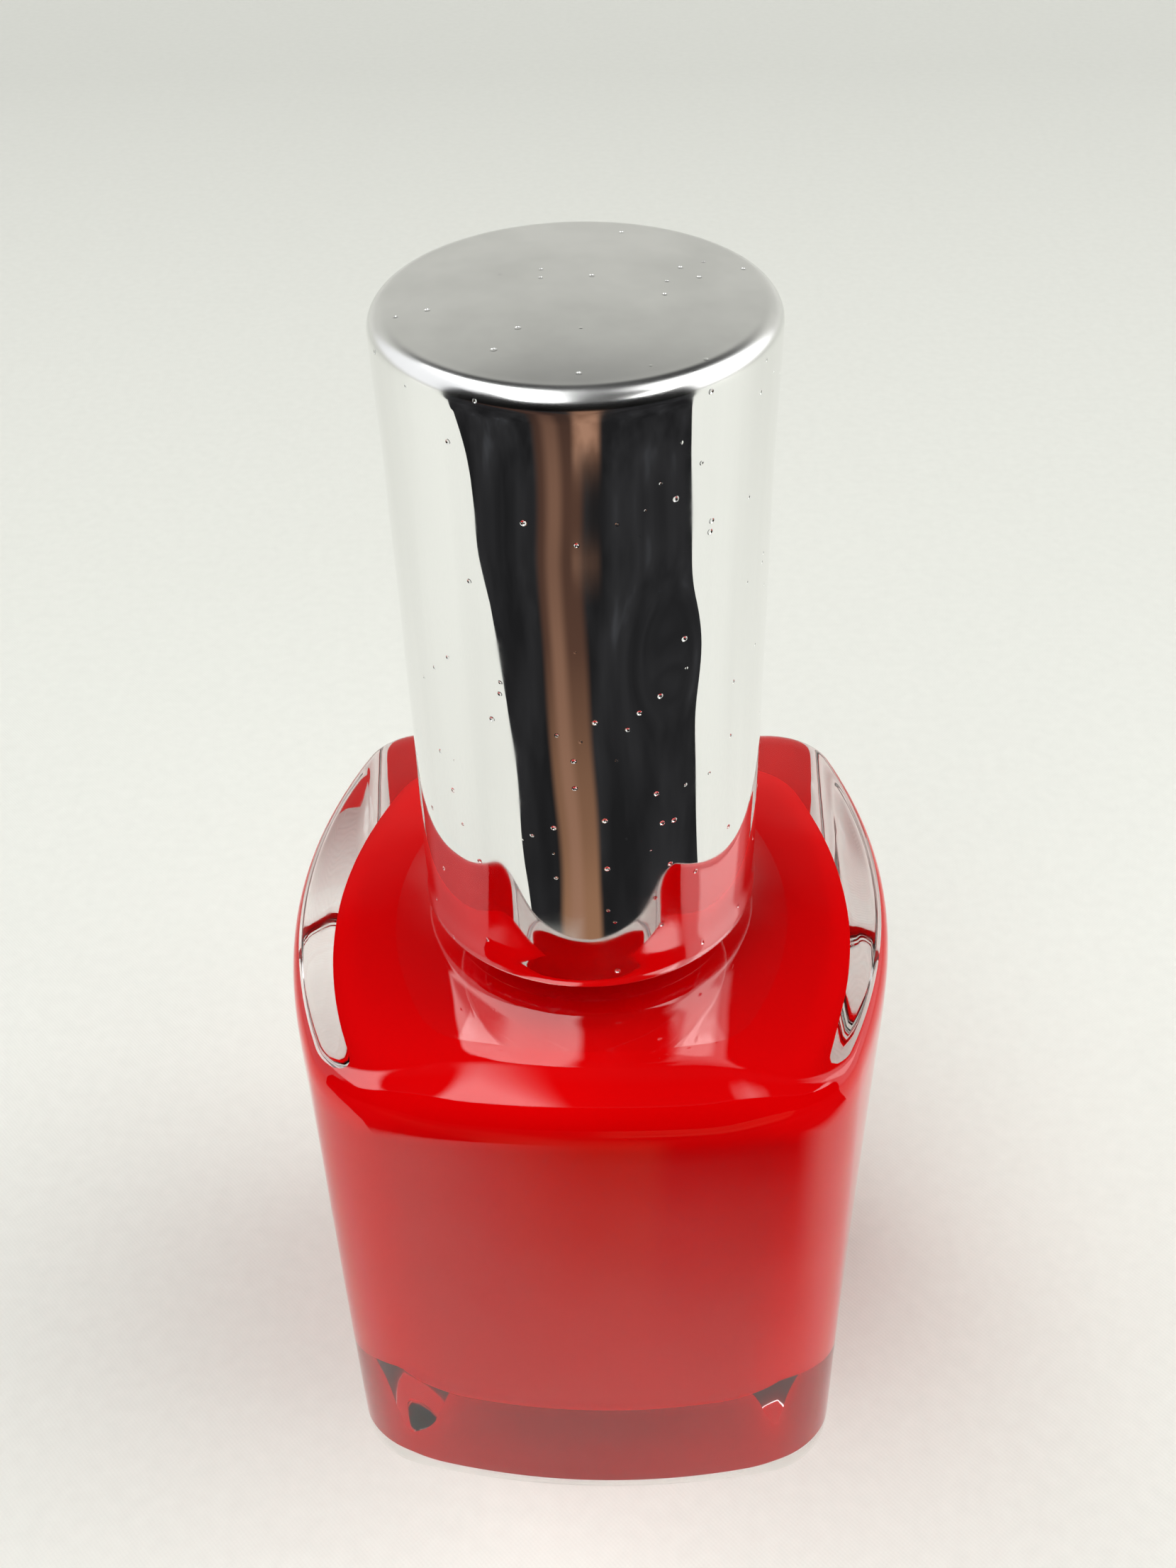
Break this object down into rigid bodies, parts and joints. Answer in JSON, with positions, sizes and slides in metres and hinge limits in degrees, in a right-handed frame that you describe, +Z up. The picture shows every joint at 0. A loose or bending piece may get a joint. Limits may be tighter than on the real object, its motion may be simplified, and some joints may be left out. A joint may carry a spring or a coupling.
{
  "type": "nail polish bottle",
  "caption": "Square thick-glass nail polish bottle with a tall cylindrical mirror screw cap that carries the brush, filled with opaque red lacquer.",
  "frame": {"origin": "middle of the bottle's foot, on the surface that it stands on", "axes": "+Z up along the bottle, the neck and the cap; the front face of the bottle looks along -Y; +X to its right as seen from the front"},
  "size_m": [0.0326, 0.0316, 0.0707],
  "materials": {
    "clear_glass": "polished clear flint glass",
    "red_lacquer": "opaque red nail lacquer, wet gloss",
    "ball_steel": "polished stainless steel",
    "label_film": "matt silver-white film, blank",
    "mirror_chrome": "mirror-bright metallised plastic with small pits and scuffs",
    "closure_plastic": "black moulded polypropylene",
    "washer_foam": "white polyethylene foam",
    "stem_plastic": "natural polyethylene, lacquer-stained",
    "anchor_metal": "bright brass strip",
    "bristle_nylon": "black nylon filaments, wet with lacquer"
  },
  "bodies": {
    "bottle": {"glass_bottle": "clear_glass", "nail_lacquer": "red_lacquer", "mixing_ball_1": "ball_steel", "mixing_ball_2": "ball_steel", "base_label": "label_film"},
    "liner": {"seal_washer": "washer_foam"},
    "brush": {"brush_stem": "stem_plastic", "bristle_anchor": "anchor_metal", "bristle_tuft": "bristle_nylon"},
    "cap": {"overcap": "mirror_chrome", "inner_cap": "closure_plastic"}
  },
  "joints": [
    {"name": "cap_lift", "type": "slide", "parent": "bottle", "child": "liner", "axis": [0, 0, 1], "range_m": [0, 0.046]},
    {"name": "cap_rise", "type": "slide", "parent": "liner", "child": "brush", "axis": [0, 0, 1], "range_m": [0, 0.0032]},
    {"name": "cap_turn", "type": "hinge", "parent": "brush", "child": "cap", "pos_m": [0, 0, 0.0372], "axis": [0, 0, 1], "range_deg": [0, 540]}
  ],
  "couplings": [
    {"joint": "cap_rise", "follows": "cap_turn", "m_per_rad": 0.00033741}
  ]
}
